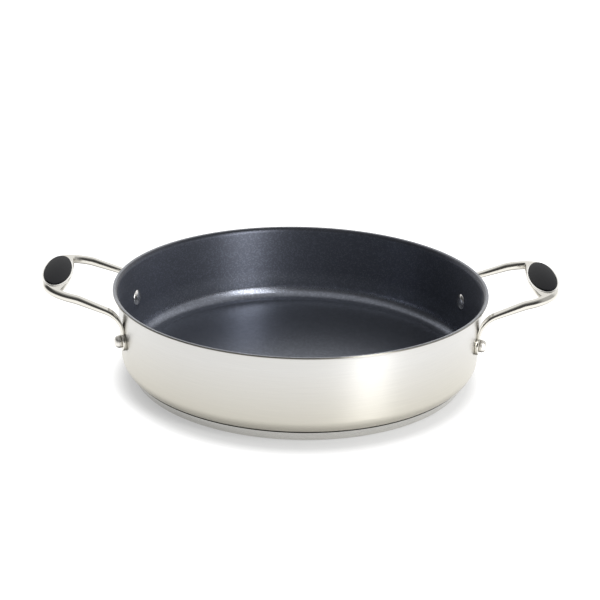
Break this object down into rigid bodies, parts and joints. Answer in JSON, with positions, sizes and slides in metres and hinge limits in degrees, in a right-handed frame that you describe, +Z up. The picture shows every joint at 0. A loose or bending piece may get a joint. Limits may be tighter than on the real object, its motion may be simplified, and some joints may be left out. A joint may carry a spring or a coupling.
{
  "type": "two-handled braiser pan",
  "caption": "Shallow round braiser pan with a flared rim, nonstick lining, capsule base and riveted cast loop handles that carry oval grip pads.",
  "frame": {"origin": "centre of the base's underside, on the worktop", "axes": "+Z up along the pan's axis, +X through the right-hand handle, +Y to the side away from the pictured front"},
  "size_m": [0.4114, 0.3, 0.0855],
  "materials": {
    "shell_steel": "stainless sheet brushed around the wall",
    "nonstick": "satin blue-grey nonstick coat with fine flakes",
    "core_aluminium": "plain disc, covered",
    "cap_steel": "pressed stainless, satin",
    "cast_steel": "cast stainless, polished",
    "pad_silicone": "matte black",
    "rivet_steel": "polished"
  },
  "bodies": {
    "root": {"pan_shell": "shell_steel", "nonstick_lining": "nonstick", "base_core": "core_aluminium", "base_cap": "cap_steel", "handle_right": "cast_steel", "handle_left": "cast_steel", "grip_pad_right": "pad_silicone", "grip_pad_left": "pad_silicone", "handle_rivets": "rivet_steel"}
  },
  "joints": []
}
